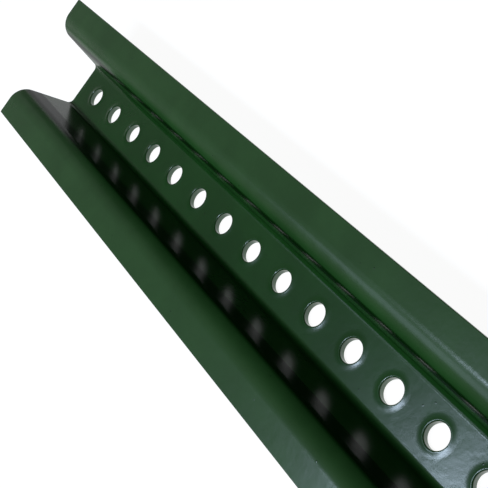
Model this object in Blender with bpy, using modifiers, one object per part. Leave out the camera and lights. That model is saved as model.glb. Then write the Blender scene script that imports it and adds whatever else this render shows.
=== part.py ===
"""Flanged U-channel sign post, roll formed from one strip of steel sheet.

A flat web carries one row of round bolt holes along its middle. A wall leans
outward from each side of the web, and a flange turns out from the top of each
wall, level with the web. All four bends are round.

The post lies on the back of its web with its open side up, as it comes to
rest. Metres, +X along the post, +Y across it, +Z out of the open side. The
origin is under the middle of the web, on the surface that the post lies on.
"""

import math

import bmesh
import bpy
from mathutils import Matrix, Vector

# The strip and the section. Widths and depths are taken between the sharp
# corners that the bends round off, on the front of the sheet, which is the
# side that faces out of the channel.
SHEET_THICKNESS = 0.00304
WEB_WIDTH = 0.0270
CHANNEL_DEPTH = 0.0345
WALL_FLARE = 0.0074
FLANGE_WIDTH = 0.0186
WEB_BEND_RADIUS = 0.0033
FLANGE_BEND_RADIUS = 0.0108

# The cut length and the row of holes, counted from the end at -X.
POST_LENGTH = 0.9144
HOLE_DIAMETER = 0.0103
HOLE_PITCH = 0.0254
FIRST_HOLE_FROM_END = 0.0194
LEAST_METAL_PAST_HOLE = 0.0110
# The punch draws the front rim of each hole in, and leaves the back one sharp.
FRONT_RIM_CHAMFER = 0.0006
BACK_RIM_CHAMFER = 0.0002

# How finely round stretches are drawn.
WEB_BEND_SEGMENTS = 6
FLANGE_BEND_SEGMENTS = 12
HOLE_SEGMENTS = 24

# How far the hole cutter stands past each face of the web.
CUTTER_OVERRUN = 0.0010
MERGE_DISTANCE = 0.00001

COATING_COLOUR = (0.026, 0.066, 0.027, 1.0)
COATING_ROUGHNESS = 0.36


def clear_scene():
    """Remove every object that the scene starts with."""
    for scene_object in list(bpy.data.objects):
        bpy.data.objects.remove(scene_object, do_unlink=True)


def new_collection(name):
    """Return a new collection, linked to the scene."""
    collection = bpy.data.collections.new(name)
    bpy.context.scene.collection.children.link(collection)
    return collection


def coating_material():
    """Return the green powder coating."""
    material = bpy.data.materials.new("green_powder_coat")
    material.use_nodes = True
    material.diffuse_color = COATING_COLOUR
    shader = material.node_tree.nodes["Principled BSDF"]
    shader.inputs["Base Color"].default_value = COATING_COLOUR
    shader.inputs["Metallic"].default_value = 0.0
    shader.inputs["Roughness"].default_value = COATING_ROUGHNESS
    return material


def rounded_corner(before, corner, after, radius, segments):
    """Return the points of the arc that rounds off one corner of an outline."""
    arriving = (corner - before).normalized()
    leaving = (after - corner).normalized()
    turn = arriving.angle_signed(leaving)
    inward = Vector((arriving.y, -arriving.x)) * math.copysign(1.0, turn)
    start = corner - arriving * radius * math.tan(abs(turn) / 2.0)
    centre = start + inward * radius
    points = []
    for step in range(segments + 1):
        swing = Matrix.Rotation(-turn * step / segments, 2)
        points.append(centre + swing @ (start - centre))
    return points


def half_section():
    """Return the front of one half of the section as points across and up."""
    middle = Vector((0.0, SHEET_THICKNESS))
    web_corner = Vector((WEB_WIDTH / 2.0, SHEET_THICKNESS))
    flange_corner = web_corner + Vector((WALL_FLARE, CHANNEL_DEPTH))
    flange_edge = flange_corner + Vector((FLANGE_WIDTH, 0.0))
    web_bend = rounded_corner(
        middle, web_corner, flange_corner, WEB_BEND_RADIUS, WEB_BEND_SEGMENTS)
    flange_bend = rounded_corner(
        web_corner, flange_corner, flange_edge,
        FLANGE_BEND_RADIUS, FLANGE_BEND_SEGMENTS)
    return [middle] + web_bend + flange_bend + [flange_edge]


def front_surface():
    """Return a mesh of the front of one half, swept along the whole post."""
    outline = bmesh.new()
    points = [
        outline.verts.new((-POST_LENGTH / 2.0, across, up))
        for across, up in half_section()]
    for inner, outer in zip(points, points[1:]):
        outline.edges.new((inner, outer))
    sweep = bmesh.ops.extrude_edge_only(outline, edges=outline.edges[:])
    far_points = [
        element for element in sweep["geom"]
        if isinstance(element, bmesh.types.BMVert)]
    bmesh.ops.translate(outline, verts=far_points, vec=(POST_LENGTH, 0.0, 0.0))
    for face in outline.faces:
        face.normal_update()
        if face.normal.z < 0.0:
            face.normal_flip()
    mesh = bpy.data.meshes.new("u_channel_post")
    outline.to_mesh(mesh)
    outline.free()
    return mesh


def hole_positions():
    """Return the place of each hole's centre along the post."""
    first = -POST_LENGTH / 2.0 + FIRST_HOLE_FROM_END
    last_allowed = (
        POST_LENGTH / 2.0 - LEAST_METAL_PAST_HOLE - HOLE_DIAMETER / 2.0)
    count = math.floor((last_allowed - first) / HOLE_PITCH) + 1
    return [first + index * HOLE_PITCH for index in range(count)]


def hole_cutter_profile():
    """Return half the outline of one hole's cutter, from its top down.

    The cutter is a bore that opens out into a chamfer at both faces.
    """
    bore_radius = HOLE_DIAMETER / 2.0
    front_radius = bore_radius + FRONT_RIM_CHAMFER
    back_radius = bore_radius + BACK_RIM_CHAMFER
    top = SHEET_THICKNESS + CUTTER_OVERRUN
    stations = [
        (0.0, top),
        (front_radius, top),
        (front_radius, SHEET_THICKNESS),
        (bore_radius, SHEET_THICKNESS - FRONT_RIM_CHAMFER),
        (bore_radius, BACK_RIM_CHAMFER),
        (back_radius, 0.0),
        (back_radius, -CUTTER_OVERRUN),
        (0.0, -CUTTER_OVERRUN)]
    outline = bmesh.new()
    points = [outline.verts.new((radius, 0.0, up)) for radius, up in stations]
    for upper, lower in zip(points, points[1:]):
        outline.edges.new((upper, lower))
    mesh = bpy.data.meshes.new("hole_cutter")
    outline.to_mesh(mesh)
    outline.free()
    return mesh


def add_hole_cutters(collection):
    """Make the row of hole cutters as one hidden object and return it."""
    places = hole_positions()
    cutters = bpy.data.objects.new("hole_cutters", hole_cutter_profile())
    cutters.location = (places[0], 0.0, 0.0)
    cutters.hide_render = True
    cutters.display_type = "WIRE"
    collection.objects.link(cutters)

    turning = cutters.modifiers.new("Turned", "SCREW")
    turning.angle = math.tau
    turning.steps = HOLE_SEGMENTS
    turning.render_steps = HOLE_SEGMENTS
    turning.use_merge_vertices = True
    turning.merge_threshold = MERGE_DISTANCE

    row = cutters.modifiers.new("Row of holes", "ARRAY")
    row.count = len(places)
    row.use_relative_offset = False
    row.use_constant_offset = True
    row.constant_offset_displace = (HOLE_PITCH, 0.0, 0.0)
    row.use_merge_vertices = False
    return cutters


def add_post(collection, cutters):
    """Make the post: half the front, mirrored, given its sheet and punched."""
    post = bpy.data.objects.new("u_channel_post", front_surface())
    collection.objects.link(post)

    mirror = post.modifiers.new("Other half", "MIRROR")
    mirror.use_axis = (False, True, False)
    mirror.merge_threshold = MERGE_DISTANCE

    sheet = post.modifiers.new("Sheet", "SOLIDIFY")
    sheet.thickness = SHEET_THICKNESS
    sheet.offset = -1.0
    sheet.use_even_offset = True

    holes = post.modifiers.new("Bolt holes", "BOOLEAN")
    holes.operation = "DIFFERENCE"
    holes.object = cutters

    post.data.materials.append(coating_material())
    return post


def build():
    """Build the whole object."""
    clear_scene()
    parts = new_collection("u_channel_post")
    hidden = new_collection("cutters")
    cutters = add_hole_cutters(hidden)
    add_post(parts, cutters)


build()
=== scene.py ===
"""Dresses the U-channel sign post: its fine sheet, powder coating, studio and camera.

Metres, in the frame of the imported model: +X along the post, +Y across it, +Z
out of its open side. The post lies on the back of its web. The end at -X is
the one that the photograph shows.
"""

import logging
import math
from dataclasses import dataclass
from enum import Enum

import bmesh
import bpy
from mathutils import Matrix, Quaternion, Vector

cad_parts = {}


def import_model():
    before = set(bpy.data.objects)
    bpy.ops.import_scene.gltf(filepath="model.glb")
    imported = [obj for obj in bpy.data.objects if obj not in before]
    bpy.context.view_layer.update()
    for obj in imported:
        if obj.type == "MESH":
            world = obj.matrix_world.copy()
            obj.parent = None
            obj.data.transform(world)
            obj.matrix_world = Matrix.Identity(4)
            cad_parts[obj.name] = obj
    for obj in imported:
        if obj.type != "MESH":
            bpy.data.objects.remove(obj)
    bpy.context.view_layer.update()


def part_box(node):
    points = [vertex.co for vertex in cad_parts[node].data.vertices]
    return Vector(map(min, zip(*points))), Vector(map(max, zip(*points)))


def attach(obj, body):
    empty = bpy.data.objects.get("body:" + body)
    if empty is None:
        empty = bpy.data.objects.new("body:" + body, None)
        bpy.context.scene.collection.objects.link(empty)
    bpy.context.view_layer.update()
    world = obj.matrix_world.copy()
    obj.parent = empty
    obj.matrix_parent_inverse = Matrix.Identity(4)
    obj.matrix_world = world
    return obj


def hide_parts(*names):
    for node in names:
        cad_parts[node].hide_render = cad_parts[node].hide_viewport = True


LOG = logging.getLogger("u_channel_post")
POST_NODE = "u_channel_post"
ROOT_BODY = "root"
WHITE = (1.0, 1.0, 1.0, 1.0)

Colour = tuple[float, float, float, float]
Span = tuple[float, float]
Loop = list[bmesh.types.BMVert]
NodeValue = float | bpy.types.NodeSocket


class SheetFace(Enum):
    """The two faces of the sheet, the front being the one inside the channel."""

    FRONT = "front"
    BACK = "back"


class Finish(Enum):
    """The post's finishes, by their place in its list of materials."""

    FRONT = 0
    BACK = 1
    CUT_EDGE = 2


@dataclass(frozen=True)
class Grain:
    """How fine a noise is: its detail, and how much its finer parts count."""

    detail: float
    roughness: float


@dataclass(frozen=True)
class HeightBand:
    """A band of heights on the post, which fades in above low and out above high."""

    low: float
    high: float
    fade: float


def feed(tree: bpy.types.NodeTree, socket: bpy.types.NodeSocket, value: NodeValue) -> None:
    """Link a socket to another one, or set it to a number.

    Args:
        tree: The nodes that the socket belongs to.
        socket: The socket to feed.
        value: The other socket, or the number.
    """
    if isinstance(value, bpy.types.NodeSocket):
        tree.links.new(value, socket)
    else:
        socket.default_value = value


def smooth_ramp(
        tree: bpy.types.NodeTree, value: bpy.types.NodeSocket,
        span: tuple[NodeValue, NodeValue], levels: Span = (0.0, 1.0)) -> bpy.types.NodeSocket:
    """Turn a value into a level that changes smoothly over a span.

    Args:
        tree: The nodes to add to.
        value: The socket to read.
        span: Where the change starts and ends.
        levels: The level before the span and after it.

    Returns:
        The level.
    """
    node = tree.nodes.new("ShaderNodeMapRange")
    node.interpolation_type = "SMOOTHSTEP"
    tree.links.new(value, node.inputs["Value"])
    for name, limit in zip(("From Min", "From Max", "To Min", "To Max"), span + levels):
        feed(tree, node.inputs[name], limit)
    return node.outputs["Result"]


def by_ray(
        tree: bpy.types.NodeTree, shown: float, mirrored: NodeValue,
        lit: float) -> bpy.types.NodeSocket:
    """Add a number that depends on what looks at the surface.

    Args:
        tree: The nodes to add to.
        shown: The number that the camera sees.
        mirrored: The number or socket that a glossy surface mirrors.
        lit: The number for all other light.

    Returns:
        The number.
    """
    rays = tree.nodes.new("ShaderNodeLightPath")
    value: NodeValue = lit
    for ray, amount in (("Is Glossy Ray", mirrored), ("Is Camera Ray", shown)):
        choice = tree.nodes.new("ShaderNodeMix")
        tree.links.new(rays.outputs[ray], choice.inputs["Factor"])
        feed(tree, choice.inputs["A"], value)
        feed(tree, choice.inputs["B"], amount)
        value = choice.outputs["Result"]
    return value


class ShaderGroup:
    """A shader node group whose inputs and outputs are all plain numbers."""

    def __init__(self, name: str, inputs: list[str], outputs: list[str]) -> None:
        """Make the group with its sockets and no nodes between them.

        Args:
            name: The group's name.
            inputs: The names of the numbers that it takes in.
            outputs: The names of the numbers that it puts out.
        """
        self.tree = bpy.data.node_groups.new(name, "ShaderNodeTree")
        for direction, sockets in (("INPUT", inputs), ("OUTPUT", outputs)):
            for socket in sockets:
                self.tree.interface.new_socket(
                    socket, in_out=direction, socket_type="NodeSocketFloat")
        self.taken = self.tree.nodes.new("NodeGroupInput")
        self.given = self.tree.nodes.new("NodeGroupOutput")

    def math(
            self, operation: str, first: NodeValue, second: NodeValue) -> bpy.types.NodeSocket:
        """Add a Math node.

        Args:
            operation: The node's operation.
            first: A socket or a number.
            second: A socket or a number.

        Returns:
            The node's output socket.
        """
        node = self.tree.nodes.new("ShaderNodeMath")
        node.operation = operation
        for socket, value in zip(node.inputs, (first, second)):
            feed(self.tree, socket, value)
        return node.outputs["Value"]

    def place(self) -> bpy.types.NodeSocket:
        """Return the place on the object, in metres."""
        return self.tree.nodes.new("ShaderNodeTexCoord").outputs["Object"]

    def noise(self, size: bpy.types.NodeSocket, grain: Grain) -> bpy.types.NodeSocket:
        """Add a noise over the place on the object.

        Args:
            size: The socket that holds the noise's wavelength in metres.
            grain: How fine the noise is.

        Returns:
            The noise, from 0 to 1.
        """
        node = self.tree.nodes.new("ShaderNodeTexNoise")
        node.inputs["Detail"].default_value = grain.detail
        node.inputs["Roughness"].default_value = grain.roughness
        self.tree.links.new(self.place(), node.inputs["Vector"])
        self.tree.links.new(self.math("DIVIDE", 1.0, size), node.inputs["Scale"])
        return node.outputs["Fac"]

    def give(self, name: str, value: bpy.types.NodeSocket) -> None:
        """Put a socket out of the group under a name."""
        self.tree.links.new(value, self.given.inputs[name])


RIPPLE_GRAIN = Grain(detail=1.5, roughness=0.45)
CLOUD_GRAIN = Grain(detail=4.0, roughness=0.62)
CLOUD_SPAN = (0.3, 0.7)
UNDER_THE_POST = -1.0


@dataclass(frozen=True)
class CoatEffects:
    """The shader node groups that every coated surface shares."""

    ripple: bpy.types.NodeTree
    cloud: bpy.types.NodeTree
    nibs: bpy.types.NodeTree
    band: bpy.types.NodeTree

    @classmethod
    def build(cls) -> "CoatEffects":
        """Make the groups.

        Returns:
            The groups.
        """
        return cls(
            cls._ripple(), cls._cloudiness(), cls._dust_nibs(), cls._height_band())

    @staticmethod
    def _ripple() -> bpy.types.NodeTree:
        """Make the coating's fine orange peel and its broader waves.

        Returns:
            The group, which puts out a height in metres.
        """
        group = ShaderGroup(
            "coat_ripple", ["Peel Size", "Peel Depth", "Wave Size", "Wave Depth"], ["Height"])
        heights = []
        for kind in ("Peel", "Wave"):
            noise = group.noise(group.taken.outputs[f"{kind} Size"], RIPPLE_GRAIN)
            heights.append(group.math("MULTIPLY", noise, group.taken.outputs[f"{kind} Depth"]))
        group.give("Height", group.math("ADD", *heights))
        return group.tree

    @staticmethod
    def _cloudiness() -> bpy.types.NodeTree:
        """Make the broad patches where the coating lies thicker or thinner.

        Returns:
            The group, which puts out the mask of the thinner patches.
        """
        group = ShaderGroup("coat_cloudiness", ["Size"], ["Mask"])
        cloud = group.noise(group.taken.outputs["Size"], CLOUD_GRAIN)
        group.give("Mask", smooth_ramp(group.tree, cloud, CLOUD_SPAN))
        return group.tree

    @staticmethod
    def _dust_nibs() -> bpy.types.NodeTree:
        """Make the few specks of dust that the coating has baked over.

        Returns:
            The group, which puts out the mask of the specks.
        """
        group = ShaderGroup("dust_nibs", ["Spacing", "Radius"], ["Mask"])
        cells = group.tree.nodes.new("ShaderNodeTexVoronoi")
        group.tree.links.new(group.place(), cells.inputs["Vector"])
        spacing = group.taken.outputs["Spacing"]
        group.tree.links.new(group.math("DIVIDE", 1.0, spacing), cells.inputs["Scale"])
        away = group.math("MULTIPLY", cells.outputs["Distance"], spacing)
        outside = smooth_ramp(group.tree, away, (0.0, group.taken.outputs["Radius"]))
        group.give("Mask", group.math("SUBTRACT", 1.0, outside))
        return group.tree

    @staticmethod
    def _height_band() -> bpy.types.NodeTree:
        """Make a band of heights, which fades in above one limit and out above another.

        Returns:
            The group, which puts out the mask of the band.
        """
        group = ShaderGroup("height_band", ["Low", "High", "Fade"], ["Mask"])
        height = group.tree.nodes.new("ShaderNodeSeparateXYZ")
        group.tree.links.new(group.place(), height.inputs["Vector"])
        fade = group.taken.outputs["Fade"]
        above = []
        for limit in ("Low", "High"):
            start = group.taken.outputs[limit]
            end = group.math("ADD", start, fade)
            above.append(smooth_ramp(group.tree, height.outputs["Z"], (start, end)))
        group.give("Mask", group.math("SUBTRACT", above[0], above[1]))
        return group.tree


@dataclass(frozen=True)
class PowderCoat:
    """A glossy green powder coating with painted shade in the channel and at the bends' feet, and
    duller on its walls.

    The painted shade and the dull zones go by height. A coating without painted shade has
    white shades, and one without dull zones has the gloss of the rest on its walls.
    """

    name: str = "green_powder_coat"
    green: Colour = (0.0220, 0.0660, 0.0163, 1.0)
    thin_green: Colour = (0.0290, 0.0830, 0.0213, 1.0)
    nib_green: Colour = (0.006, 0.020, 0.005, 1.0)
    # Painted shade: the colour is darkened down in the channel, where shade falls.
    painted_channel_shade: Colour = (0.45, 0.82, 0.50, 1.0)
    channel: HeightBand = HeightBand(low=UNDER_THE_POST, high=0.0300, fade=0.0070)
    # Painted shade: darker still at the feet of the flange bends.
    painted_bend_foot_shade: Colour = (0.12, 0.23, 0.13, 1.0)
    bend_feet: HeightBand = HeightBand(low=0.0215, high=0.0315, fade=0.0020)
    metallic: float = 0.0
    roughness: float = 0.24
    ior: float = 1.5
    gloss: float = 1.0
    wall_gloss: float = 0.45
    bend_foot_gloss: float = 0.30
    walls: HeightBand = HeightBand(low=0.0032, high=0.0350, fade=0.0014)
    peel_size: float = 0.0018
    peel_depth: float = 0.000018
    wave_size: float = 0.0060
    wave_depth: float = 0.00005
    cloud_size: float = 0.035
    nib_spacing: float = 0.008
    nib_radius: float = 0.00050
    nib_height: float = 0.00003

    def material(self, effects: CoatEffects) -> bpy.types.Material:
        """Make the coating's material.

        Args:
            effects: The shared shader node groups.

        Returns:
            The material.
        """
        material = bpy.data.materials.new(self.name)
        material.use_nodes = True
        tree = material.node_tree
        shader = tree.nodes["Principled BSDF"]
        shader.inputs["Metallic"].default_value = self.metallic
        shader.inputs["Roughness"].default_value = self.roughness
        shader.inputs["Specular IOR Level"].default_value = 0.0
        shader.inputs["Coat Weight"].default_value = self.gloss
        shader.inputs["Coat Roughness"].default_value = self.roughness
        shader.inputs["Coat IOR"].default_value = self.ior
        cloud = self._place_group(tree, effects.cloud, {"Size": self.cloud_size})
        nibs = self._place_group(
            tree, effects.nibs, {"Spacing": self.nib_spacing, "Radius": self.nib_radius})
        ripple = self._place_group(
            tree, effects.ripple,
            {"Peel Size": self.peel_size, "Peel Depth": self.peel_depth,
             "Wave Size": self.wave_size, "Wave Depth": self.wave_depth})
        green = self._blended_green(tree, cloud.outputs["Mask"], nibs.outputs["Mask"])
        # Paint shade into the colour in the channel and at the bends' feet.
        for painted_shade, band in (
                (self.painted_channel_shade, self.channel), (self.painted_bend_foot_shade, self.bend_feet)):
            if painted_shade != WHITE:
                green = self._with_painted_shade(tree, green, painted_shade, self._band_mask(tree, effects, band))
        tree.links.new(green, shader.inputs["Base Color"])
        if self.wall_gloss != self.gloss:
            self._link_gloss(tree, shader, effects)
        self._link_relief(tree, shader, ripple.outputs["Height"], nibs.outputs["Mask"])
        return material

    def _band_mask(
            self, tree: bpy.types.NodeTree, effects: CoatEffects,
            band: HeightBand) -> bpy.types.NodeSocket:
        """Mask a band of heights.

        Args:
            tree: The material's nodes.
            effects: The shared shader node groups.
            band: The band.

        Returns:
            The mask.
        """
        placed = self._place_group(
            tree, effects.band, {"Low": band.low, "High": band.high, "Fade": band.fade})
        return placed.outputs["Mask"]

    @staticmethod
    def _place_group(
            tree: bpy.types.NodeTree, group: bpy.types.NodeTree,
            values: dict[str, float]) -> bpy.types.Node:
        """Put a shared group in a material with its own values.

        Args:
            tree: The material's nodes.
            group: The group to place.
            values: What to set on the group's sockets.

        Returns:
            The group's node.
        """
        node = tree.nodes.new("ShaderNodeGroup")
        node.node_tree = group
        for name, value in values.items():
            node.inputs[name].default_value = value
        return node

    def _blended_green(
            self, tree: bpy.types.NodeTree, cloud: bpy.types.NodeSocket,
            nibs: bpy.types.NodeSocket) -> bpy.types.NodeSocket:
        """Blend the coating's greens by how thick it lies and where dust is.

        Args:
            tree: The material's nodes.
            cloud: The mask of the thinner patches.
            nibs: The mask of the dust.

        Returns:
            The blended colour.
        """
        patches = tree.nodes.new("ShaderNodeMix")
        patches.data_type = "RGBA"
        patches.inputs["A"].default_value = self.green
        patches.inputs["B"].default_value = self.thin_green
        specks = tree.nodes.new("ShaderNodeMix")
        specks.data_type = "RGBA"
        specks.inputs["B"].default_value = self.nib_green
        tree.links.new(cloud, patches.inputs["Factor"])
        tree.links.new(nibs, specks.inputs["Factor"])
        tree.links.new(patches.outputs["Result"], specks.inputs["A"])
        return specks.outputs["Result"]

    @staticmethod
    def _with_painted_shade(
            tree: bpy.types.NodeTree, green: bpy.types.NodeSocket, painted_shade: Colour,
            mask: bpy.types.NodeSocket) -> bpy.types.NodeSocket:
        """Paint shade into the coating's colour over a part of the surface.

        Args:
            tree: The material's nodes.
            green: The coating's colour.
            painted_shade: The painted shade that the colour is multiplied by.
            mask: The mask of the part.

        Returns:
            The darkened colour.
        """
        node = tree.nodes.new("ShaderNodeMix")
        node.data_type = "RGBA"
        node.blend_type = "MULTIPLY"
        node.inputs["B"].default_value = painted_shade
        tree.links.new(mask, node.inputs["Factor"])
        tree.links.new(green, node.inputs["A"])
        return node.outputs["Result"]

    def _link_gloss(
            self, tree: bpy.types.NodeTree, shader: bpy.types.Node,
            effects: CoatEffects) -> None:
        """Make the coating duller on the channel's walls, and most at the bends' feet.

        Args:
            tree: The material's nodes.
            shader: The material's shader.
            effects: The shared shader node groups.
        """
        gloss: NodeValue = self.gloss
        for band, duller in (
                (self.walls, self.wall_gloss), (self.bend_feet, self.bend_foot_gloss)):
            blend = tree.nodes.new("ShaderNodeMix")
            feed(tree, blend.inputs["A"], gloss)
            feed(tree, blend.inputs["B"], duller)
            feed(tree, blend.inputs["Factor"], self._band_mask(tree, effects, band))
            gloss = blend.outputs["Result"]
        tree.links.new(gloss, shader.inputs["Coat Weight"])

    def _link_relief(
            self, tree: bpy.types.NodeTree, shader: bpy.types.Node,
            ripple: bpy.types.NodeSocket, nibs: bpy.types.NodeSocket) -> None:
        """Raise the ripple and the dust out of the surface.

        Args:
            tree: The material's nodes.
            shader: The material's shader.
            ripple: The ripple's height in metres.
            nibs: The mask of the dust.
        """
        height = tree.nodes.new("ShaderNodeMath")
        height.operation = "MULTIPLY_ADD"
        height.inputs[1].default_value = self.nib_height
        tree.links.new(nibs, height.inputs[0])
        tree.links.new(ripple, height.inputs[2])
        bump = tree.nodes.new("ShaderNodeBump")
        bump.inputs["Distance"].default_value = 1.0
        tree.links.new(height.outputs["Value"], bump.inputs["Height"])
        tree.links.new(bump.outputs["Normal"], shader.inputs["Normal"])
        tree.links.new(bump.outputs["Normal"], shader.inputs["Coat Normal"])


@dataclass(frozen=True)
class SheetSlice:
    """A point on the sheet's front and the one behind it, each with its way out."""

    front: Vector
    front_out: Vector
    back: Vector
    back_out: Vector

    def mirrored(self) -> "SheetSlice":
        """Return the same slice on the other side of the post."""
        return SheetSlice(*(Vector((-part.x, part.y)) for part in (
            self.front, self.front_out, self.back, self.back_out)))

    def drawn_in(self, inset: float) -> tuple[Vector, Vector]:
        """Return the front and back points, each moved into the metal.

        Args:
            inset: How far to move them.

        Returns:
            The front point and the back point.
        """
        return self.front - self.front_out * inset, self.back - self.back_out * inset


@dataclass
class SheetSection:
    """The section of the formed strip, as points across the post and up.

    The widths run between the sharp corners that the bends round off, on the
    sheet's front.
    """

    overall_width: float
    overall_depth: float
    thickness: float = 0.00304
    web_width: float = 0.0270
    wall_flare: float = 0.0074
    web_bend_radius: float = 0.0033
    flange_bend_radius: float = 0.0108
    edge_radius: float = 0.0004
    web_bend_segments: int = 12
    flange_bend_segments: int = 24
    edge_segments: int = 4
    web_flat_segments: int = 4

    def slices(self) -> list[SheetSlice]:
        """Return the slices of the whole section, from the left flange to the right."""
        half = self._half()
        return [part.mirrored() for part in reversed(half)] + self._web_flat(half[0]) + half

    def web_flat_slices(self) -> range:
        """Return which slices lie on the flat of the web, its two edges included."""
        first = len(self._half()) - 1
        return range(first, first + self.web_flat_segments + 1)

    def _half(self) -> list[SheetSlice]:
        """Work out one half of the section.

        Returns:
            The slices, from the edge of the web's flat to the flange's edge.
        """
        middle = Vector((0.0, self.thickness))
        web_corner = Vector((self.web_width / 2.0, self.thickness))
        flange_corner = Vector((web_corner.x + self.wall_flare, self.overall_depth))
        flange_edge = Vector((self.overall_width / 2.0, self.overall_depth))
        web_bend = self._bend(
            (middle, web_corner, flange_corner), self.web_bend_radius, self.web_bend_segments)
        flange_bend = self._bend(
            (web_corner, flange_corner, flange_edge),
            self.flange_bend_radius, self.flange_bend_segments)
        return web_bend + flange_bend + self._rounded_edge(flange_edge)

    def _bend(
            self, corners: tuple[Vector, Vector, Vector],
            radius: float, segments: int) -> list[SheetSlice]:
        """Return the slices of the bend that rounds off one corner.

        Args:
            corners: The corner between the one before it and the one after it.
            radius: The radius of the sheet's front.
            segments: How many straight pieces the bend is drawn with.

        Returns:
            The slices, in order.
        """
        before, corner, after = corners
        arriving = (corner - before).normalized()
        turn = arriving.angle_signed((after - corner).normalized())
        hand = math.copysign(1.0, turn)
        inward = Vector((arriving.y, -arriving.x)) * hand
        start = corner - arriving * radius * math.tan(abs(turn) / 2.0)
        centre = start + inward * radius
        bend = []
        for step in range(segments + 1):
            spoke = Matrix.Rotation(-turn * step / segments, 2) @ -inward
            front = centre + spoke * radius
            out = spoke * hand
            bend.append(SheetSlice(front, out, front - out * self.thickness, -out))
        return bend

    def _rounded_edge(self, corner: Vector) -> list[SheetSlice]:
        """Return the slices of a flange's rounded edge.

        Args:
            corner: The sharp corner of the edge, on the sheet's front.

        Returns:
            The slices, from the flat of the flange outward.
        """
        radius = self.edge_radius
        mid_height = corner.y - self.thickness / 2.0
        edge = []
        for step in range(self.edge_segments + 1):
            angle = math.pi / 2.0 * (1.0 - step / self.edge_segments)
            out = Vector((math.cos(angle), math.sin(angle)))
            front = corner + (out - Vector((1.0, 1.0))) * radius
            edge.append(SheetSlice(
                front, out,
                Vector((front.x, 2.0 * mid_height - front.y)), Vector((out.x, -out.y))))
        return edge

    def _web_flat(self, side: SheetSlice) -> list[SheetSlice]:
        """Return the slices across the web's flat, without its two edges.

        Args:
            side: The slice at the flat's right edge.

        Returns:
            The slices, from left to right.
        """
        flat = []
        for step in range(1, self.web_flat_segments):
            across = side.front.x * (2.0 * step / self.web_flat_segments - 1.0)
            flat.append(SheetSlice(
                Vector((across, side.front.y)), side.front_out,
                Vector((across, side.back.y)), side.back_out))
        return flat


@dataclass
class HoleRow:
    """The row of punched bolt holes along the middle of the web.

    The punch raises a low lip round the front of each hole, and leaves the
    back nearly flat and sharp.
    """

    diameter: float = 0.0103
    pitch: float = 0.0254
    first_from_end: float = 0.0194
    least_metal_past: float = 0.0110
    lip_width: float = 0.0028
    lip_height: float = 0.00024
    front_rim_radius: float = 0.0006
    back_rim_radius: float = 0.0002
    lip_segments: int = 8
    rim_segments: int = 6
    ring_segments: int = 64

    def places(self, low_end: float, high_end: float) -> list[float]:
        """Return where each hole's centre is along the post.

        Args:
            low_end: Where the post starts.
            high_end: Where the post ends.

        Returns:
            The places, from the low end up.
        """
        first = low_end + self.first_from_end
        last_allowed = high_end - self.least_metal_past - self.diameter / 2.0
        count = math.floor((last_allowed - first) / self.pitch) + 1
        return [first + index * self.pitch for index in range(count)]

    def profile(self, thickness: float) -> list[tuple[float, float]]:
        """Return the bore's outline from its front mouth to its back mouth.

        Args:
            thickness: The thickness of the sheet, whose back is at height 0.

        Returns:
            Pairs of a radius and a height.
        """
        top = thickness + self.lip_height
        front = [
            (radius, top - deeper) for radius, deeper in self._rim(self.front_rim_radius)]
        return self._lip(thickness) + front + list(reversed(self._rim(self.back_rim_radius)))

    def face_rings(self) -> int:
        """Return how many rings of faces belong to the sheet's front, before the bore."""
        return self.lip_segments + self.rim_segments

    def _lip(self, thickness: float) -> list[tuple[float, float]]:
        """Return the lip's rise from the flat of the web, without its top.

        Args:
            thickness: The thickness of the sheet.

        Returns:
            Pairs of a radius and a height.
        """
        top_radius = self.diameter / 2.0 + self.front_rim_radius
        lip = []
        for step in range(self.lip_segments):
            climbed = step / self.lip_segments
            lip.append((
                top_radius + self.lip_width * (1.0 - climbed),
                thickness + self.lip_height * climbed ** 2))
        return lip

    def _rim(self, rim_radius: float) -> list[tuple[float, float]]:
        """Return one rounded rim, from the face of the sheet to the bore.

        Args:
            rim_radius: The radius that the rim is rounded to.

        Returns:
            Pairs of a radius from the hole's middle and a depth under the face.
        """
        rim = []
        for step in range(self.rim_segments + 1):
            angle = math.pi / 2.0 * step / self.rim_segments
            wider = rim_radius * (1.0 - math.sin(angle))
            rim.append((self.diameter / 2.0 + wider, rim_radius * (1.0 - math.cos(angle))))
        return rim


STATIONS_PER_TILE = 2


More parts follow.
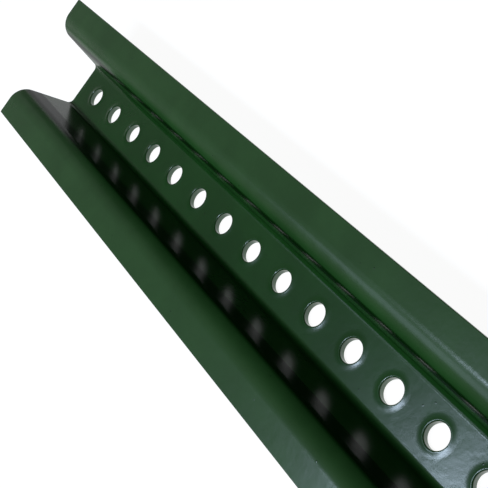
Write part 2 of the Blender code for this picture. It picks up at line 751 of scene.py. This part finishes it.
@dataclass
class Post:
    """The post itself: one strip of sheet, formed, punched, cut and coated."""

    section: SheetSection
    holes: HoleRow
    low_end: float
    high_end: float
    end_radius: float = 0.0003
    end_segments: int = 3

    def build(self) -> bpy.types.Object:
        """Make the post's mesh as one closed skin.

        Returns:
            The post.
        """
        skin = bmesh.new()
        loops = [self._add_loop(skin, along, inset) for along, inset in self._stations()]
        self._add_sides(skin, loops)
        self._add_end_caps(skin, loops)
        for index, along in enumerate(self.holes.places(self.low_end, self.high_end)):
            station = self._first_tile_station() + STATIONS_PER_TILE * index
            self._add_hole(skin, loops, station, along)
        bmesh.ops.recalc_face_normals(skin, faces=skin.faces)
        for face in skin.faces:
            face.smooth = True
        mesh = bpy.data.meshes.new("sign_post")
        skin.to_mesh(mesh)
        skin.free()
        post = bpy.data.objects.new("sign_post", mesh)
        bpy.context.scene.collection.objects.link(post)
        shading = post.modifiers.new("Flat faces stay flat", "WEIGHTED_NORMAL")
        shading.keep_sharp = False
        return post

    def dress(self, post: bpy.types.Object, effects: CoatEffects) -> None:
        """Coat the post and put it in the place of its CAD solid.

        Args:
            post: The post.
            effects: The shared shader node groups.
        """
        front_coat = PowderCoat()
        # The back has no painted shade.
        back_coat = PowderCoat(
            name="green_powder_coat_on_the_back",
            painted_channel_shade=WHITE,
            painted_bend_foot_shade=WHITE,
            wall_gloss=front_coat.gloss)
        # Cut ends and bores: a thin, partly metallic coat, lightened as painted light on the
        # bores.
        cut_edge_coat_and_painted_light = PowderCoat(
            name="thin_coat_and_painted_light_on_cut_edges",
            green=(0.060, 0.110, 0.066, 1.0),
            thin_green=(0.085, 0.145, 0.090, 1.0),
            painted_channel_shade=WHITE,
            painted_bend_foot_shade=WHITE,
            metallic=0.35,
            roughness=0.30,
            gloss=0.90,
            wall_gloss=0.40,
            peel_size=0.0008,
            peel_depth=0.00001)
        for coat in (front_coat, back_coat, cut_edge_coat_and_painted_light):
            post.data.materials.append(coat.material(effects))
        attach(post, ROOT_BODY)
        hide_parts(POST_NODE)

    def _end_rounding(self) -> list[tuple[float, float]]:
        """Work out the loops of an end's rounding.

        Returns:
            How far along and how far in each loop is, from the end inward.
        """
        rounding = []
        for step in range(self.end_segments + 1):
            angle = math.pi / 2.0 * (1.0 - step / self.end_segments)
            rounding.append((
                self.end_radius * (1.0 - math.sin(angle)),
                self.end_radius * (1.0 - math.cos(angle))))
        return rounding

    def _first_tile_station(self) -> int:
        """Return the station where the first hole's tile of the web starts."""
        return len(self._end_rounding())

    def _stations(self) -> list[tuple[float, float]]:
        """Work out the stations where the section is drawn along the post.

        Each hole has a tile of the web to itself, one pitch long, so there is a
        station at every tile's edge and at every hole's middle.

        Returns:
            How far along each station is, and how far its outline is drawn in.
        """
        rounding = self._end_rounding()
        places = self.holes.places(self.low_end, self.high_end)
        half_pitch = self.holes.pitch / 2.0
        tiles = [places[0] - half_pitch]
        for place in places:
            tiles += [place, place + half_pitch]
        low = [(self.low_end + along, inset) for along, inset in rounding]
        high = [(self.high_end - along, inset) for along, inset in reversed(rounding)]
        return low + [(along, 0.0) for along in tiles] + high

    def _add_loop(self, skin: bmesh.types.BMesh, along: float, inset: float) -> Loop:
        """Add the section's outline at one place along the post.

        Args:
            skin: The mesh to add to.
            along: The place along the post.
            inset: How far the outline is drawn into the metal.

        Returns:
            The front's points from left to right, then the back's from right to left.
        """
        drawn = [part.drawn_in(inset) for part in self.section.slices()]
        outline = [front for front, _ in drawn] + [back for _, back in reversed(drawn)]
        return [skin.verts.new((along, point.x, point.y)) for point in outline]

    def _across_web(self, sheet_face: SheetFace) -> list[int]:
        """Return a loop's points across the web's flat, from left to right.

        Args:
            sheet_face: Which face of the sheet.

        Returns:
            The points' places in the loop.
        """
        slices = self.section.web_flat_slices()
        if sheet_face is SheetFace.FRONT:
            return list(slices)
        last = 2 * len(self.section.slices()) - 1
        return [last - index for index in slices]

    def _add_sides(self, skin: bmesh.types.BMesh, loops: list[Loop]) -> None:
        """Join each loop to the next, leaving the tiles of the web open.

        Args:
            skin: The mesh to add to.
            loops: The loops along the post.
        """
        first_tile = self._first_tile_station()
        tiles = range(first_tile, len(loops) - first_tile - 1)
        open_spans = set()
        for sheet_face in SheetFace:
            across = self._across_web(sheet_face)
            open_spans.update(min(pair) for pair in zip(across, across[1:]))
        count = len(loops[0])
        front_count = count // 2 - 1
        for station, (low, high) in enumerate(zip(loops, loops[1:])):
            for index in range(count):
                if station in tiles and index in open_spans:
                    continue
                after = (index + 1) % count
                side = skin.faces.new((low[index], low[after], high[after], high[index]))
                finish = Finish.FRONT if index < front_count else Finish.BACK
                side.material_index = finish.value

    def _add_end_caps(self, skin: bmesh.types.BMesh, loops: list[Loop]) -> None:
        """Close the post's two cut ends.

        Args:
            skin: The mesh to add to.
            loops: The loops along the post.
        """
        for loop in (loops[0], loops[-1]):
            for index in range(len(loop) // 2 - 1):
                cap = skin.faces.new((
                    loop[index], loop[index + 1], loop[-index - 2], loop[-index - 1]))
                cap.material_index = Finish.CUT_EDGE.value

    def _add_hole(
            self, skin: bmesh.types.BMesh, loops: list[Loop], station: int, along: float) -> None:
        """Add one hole with the tile of the web around it.

        Args:
            skin: The mesh to add to.
            loops: The loops along the post.
            station: The station where the tile starts.
            along: The place of the hole's centre.
        """
        rings = []
        for radius, height in self.holes.profile(self.section.thickness):
            rings.append([
                skin.verts.new((
                    along + radius * math.cos(math.tau * step / self.holes.ring_segments),
                    radius * math.sin(math.tau * step / self.holes.ring_segments),
                    height))
                for step in range(self.holes.ring_segments)])
        for level, (upper, lower) in enumerate(zip(rings, rings[1:])):
            finish = Finish.FRONT if level < self.holes.face_rings() else Finish.CUT_EDGE
            for index, vert in enumerate(upper):
                wall = skin.faces.new((upper[index - 1], vert, lower[index], lower[index - 1]))
                wall.material_index = finish.value
        tile = loops[station:station + STATIONS_PER_TILE + 1]
        for sheet_face, mouth, finish in (
                (SheetFace.FRONT, rings[0], Finish.FRONT),
                (SheetFace.BACK, rings[-1], Finish.BACK)):
            border = self._tile_border(tile, self._across_web(sheet_face))
            self._fill_around(skin, mouth, border, along, finish)

    @staticmethod
    def _tile_border(tile: list[Loop], across: list[int]) -> Loop:
        """Return the points round a tile of the web.

        Args:
            tile: The loops at the tile's low edge, middle and high edge.
            across: A loop's points across the web's flat, from left to right.

        Returns:
            The points, in order round the tile.
        """
        low, middle, high = tile
        left, right = across[0], across[-1]
        return (
            [low[left], middle[left]] + [high[index] for index in across]
            + [middle[right]] + [low[index] for index in reversed(across[1:])])

    @staticmethod
    def _fill_around(
            skin: bmesh.types.BMesh, mouth: Loop, border: Loop, along: float,
            finish: Finish) -> None:
        """Fill the flat between a hole's mouth and the edge of its tile.

        Args:
            skin: The mesh to add to.
            mouth: The points of the hole's mouth.
            border: The points round the tile.
            along: The place of the hole's centre.
            finish: The finish of the flat.
        """
        def heading(vert: bmesh.types.BMVert) -> float:
            """Return the direction of a point from the hole's centre."""
            return math.atan2(vert.co.y, vert.co.x - along) % math.tau

        inner = sorted(mouth, key=heading)
        outer = sorted(border, key=heading)
        inner_headings = [heading(vert) for vert in inner] + [math.tau]
        outer_headings = [heading(vert) for vert in outer] + [math.tau]
        inner_at = outer_at = 0
        while inner_at < len(inner) or outer_at < len(outer):
            here = inner[inner_at % len(inner)], outer[outer_at % len(outer)]
            inner_next = inner_headings[inner_at + 1] if inner_at < len(inner) else math.inf
            outer_next = outer_headings[outer_at + 1] if outer_at < len(outer) else math.inf
            if inner_next <= outer_next:
                inner_at += 1
                filled = skin.faces.new((*here, inner[inner_at % len(inner)]))
            else:
                outer_at += 1
                filled = skin.faces.new((*here, outer[outer_at % len(outer)]))
            filled.material_index = finish.value


@dataclass(frozen=True)
class Softbox:
    """A rectangular softbox that faces straight down."""

    name: str
    place: tuple[float, float, float]
    length: float
    width: float
    power: float
    mirrored: bool
    colour: tuple[float, float, float] = (0.66, 0.80, 1.0)

    def build(self) -> None:
        """Hang the softbox, its length along the post."""
        lamp = bpy.data.lights.new(self.name, "AREA")
        lamp.shape = "RECTANGLE"
        lamp.size = self.length
        lamp.size_y = self.width
        lamp.energy = self.power
        lamp.color = self.colour
        softbox = bpy.data.objects.new(self.name, lamp)
        softbox.location = self.place
        softbox.visible_glossy = self.mirrored
        bpy.context.scene.collection.objects.link(softbox)


@dataclass(frozen=True)
class Room:
    """How bright the room is to each thing that looks at it.

    The post mirrors a room that darkens to its right and glows low down past
    its far end. The spans are of the Y, Z and X parts of a direction, in turn.
    """

    shown: float = 1.0
    mirrored: float = 0.16
    mirrored_dark_side: float = 0.02
    mirrored_far_glow: float = 1.0
    lit: float = 0.05
    darkens_to_the_right: Span = (0.1, 0.6)
    glow_ends_upward: Span = (0.10, 0.42)
    glow_ends_sideways: Span = (-0.97, -0.86)

    def build(self) -> None:
        """Make the world: white to the camera, and a dim room to the post."""
        world = bpy.data.worlds.new("studio")
        bpy.context.scene.world = world
        world.use_nodes = True
        tree = world.node_tree
        room = tree.nodes["Background"]
        room.inputs["Color"].default_value = WHITE
        strength = by_ray(tree, self.shown, self._mirrored_room(tree), self.lit)
        tree.links.new(strength, room.inputs["Strength"])

    def _mirrored_room(self, tree: bpy.types.NodeTree) -> bpy.types.NodeSocket:
        """Make the room that the post mirrors, dark on its right, with a glow at its far end.

        Args:
            tree: The world's nodes.

        Returns:
            How bright the room is in each direction.
        """
        way = tree.nodes.new("ShaderNodeTexCoord")
        parts = tree.nodes.new("ShaderNodeSeparateXYZ")
        tree.links.new(way.outputs["Generated"], parts.inputs["Vector"])
        side = smooth_ramp(
            tree, parts.outputs["Y"], self.darkens_to_the_right,
            (self.mirrored, self.mirrored_dark_side))
        low = smooth_ramp(
            tree, parts.outputs["Z"], self.glow_ends_upward, (self.mirrored_far_glow, 0.0))
        ahead = smooth_ramp(tree, parts.outputs["X"], self.glow_ends_sideways, (1.0, 0.0))
        glow = tree.nodes.new("ShaderNodeMath")
        glow.operation = "MULTIPLY_ADD"
        tree.links.new(low, glow.inputs[0])
        tree.links.new(ahead, glow.inputs[1])
        tree.links.new(side, glow.inputs[2])
        return glow.outputs["Value"]


@dataclass
class Studio:
    """The white floor, the softboxes and the dim room that the post is lit in."""

    floor_half_size: float = 3.0
    floor_drop: float = 0.0003
    floor_shown_white: float = 0.95
    floor_mirrored_white: float = 1.0
    floor_bounced_white: float = 0.8
    floor_colour: Colour = (0.13, 0.13, 0.13, 1.0)
    softboxes: tuple[Softbox, ...] = (
        Softbox("overhead_softbox", (-0.42, -0.40, 1.5), 0.90, 0.15, 17.5, True),
        Softbox("far_side_softbox", (-0.90, -1.00, 0.95), 0.80, 0.80, 3.4, True),
        Softbox("side_fill_softbox", (-0.10, -1.33, 0.95), 0.60, 0.30, 11.0, False))
    room: Room = Room()

    def build(self) -> None:
        """Make the floor, the lamps and the world."""
        self._floor()
        for softbox in self.softboxes:
            softbox.build()
        self.room.build()

    def _floor(self) -> None:
        """Add the plain white floor that the post lies on."""
        size = self.floor_half_size
        surface = bmesh.new()
        corners = [
            surface.verts.new((across * size, along * size, -self.floor_drop))
            for across, along in ((-1, -1), (1, -1), (1, 1), (-1, 1))]
        surface.faces.new(corners)
        mesh = bpy.data.meshes.new("floor")
        surface.to_mesh(mesh)
        surface.free()
        floor = bpy.data.objects.new("floor", mesh)
        bpy.context.scene.collection.objects.link(floor)
        mesh.materials.append(self._floor_paint())

    def _floor_paint(self) -> bpy.types.Material:
        """Make a paint that shows white, with the post's shadow on it.

        Returns:
            The paint.
        """
        paint = bpy.data.materials.new("white_floor")
        paint.use_nodes = True
        tree = paint.node_tree
        tree.nodes.remove(tree.nodes["Principled BSDF"])
        lit = tree.nodes.new("ShaderNodeBsdfDiffuse")
        lit.inputs["Color"].default_value = self.floor_colour
        shown = tree.nodes.new("ShaderNodeEmission")
        shown.inputs["Color"].default_value = WHITE
        strength = by_ray(
            tree, self.floor_shown_white, self.floor_mirrored_white, self.floor_bounced_white)
        both = tree.nodes.new("ShaderNodeAddShader")
        tree.links.new(strength, shown.inputs["Strength"])
        tree.links.new(lit.outputs["BSDF"], both.inputs[0])
        tree.links.new(shown.outputs["Emission"], both.inputs[1])
        tree.links.new(both.outputs["Shader"], tree.nodes["Material Output"].inputs["Surface"])
        return paint


@dataclass
class PhotoCamera:
    """The camera, at the place and angle of the photograph.

    It stands over the post and looks back along it at the far end. Lengths
    along the post are counted from that end.
    """

    far_end: float
    from_far_end: float = 0.47779
    across: float = 0.05396
    height: float = 0.28823
    aim_from_far_end: float = 0.19092
    aim_across: float = -0.00001
    aim_height: float = 0.00304
    roll: float = -1.05093
    lens: float = 66.58
    sensor: float = 36.0
    clip_start: float = 0.01

    def build(self) -> None:
        """Make the camera and show the scene through it."""
        data = bpy.data.cameras.new("photo_camera")
        data.lens = self.lens
        data.sensor_width = self.sensor
        data.clip_start = self.clip_start
        camera = bpy.data.objects.new("photo_camera", data)
        place = Vector((self.far_end + self.from_far_end, self.across, self.height))
        aim = Vector((self.far_end + self.aim_from_far_end, self.aim_across, self.aim_height))
        camera.location = place
        camera.rotation_mode = "QUATERNION"
        level = (aim - place).to_track_quat("-Z", "Y")
        camera.rotation_quaternion = level @ Quaternion((0.0, 0.0, 1.0), self.roll)
        bpy.context.scene.collection.objects.link(camera)
        bpy.context.scene.camera = camera


def main() -> None:
    """Load the frame, then build and dress each piece in order."""
    logging.basicConfig(level=logging.INFO, format="%(name)s: %(message)s")
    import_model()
    bpy.context.scene.view_settings.view_transform = "Standard"
    lowest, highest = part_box(POST_NODE)
    section = SheetSection(overall_width=highest.y - lowest.y, overall_depth=highest.z)
    post = Post(section, HoleRow(), lowest.x, highest.x)
    sign_post = post.build()
    post.dress(sign_post, CoatEffects.build())
    LOG.info("post of %d faces", len(sign_post.data.polygons))
    Studio().build()
    LOG.info("studio with a white floor, three softboxes and a dim room")
    PhotoCamera(lowest.x).build()
    LOG.info("camera at the photograph's angle")


if __name__ == "__main__":
    main()
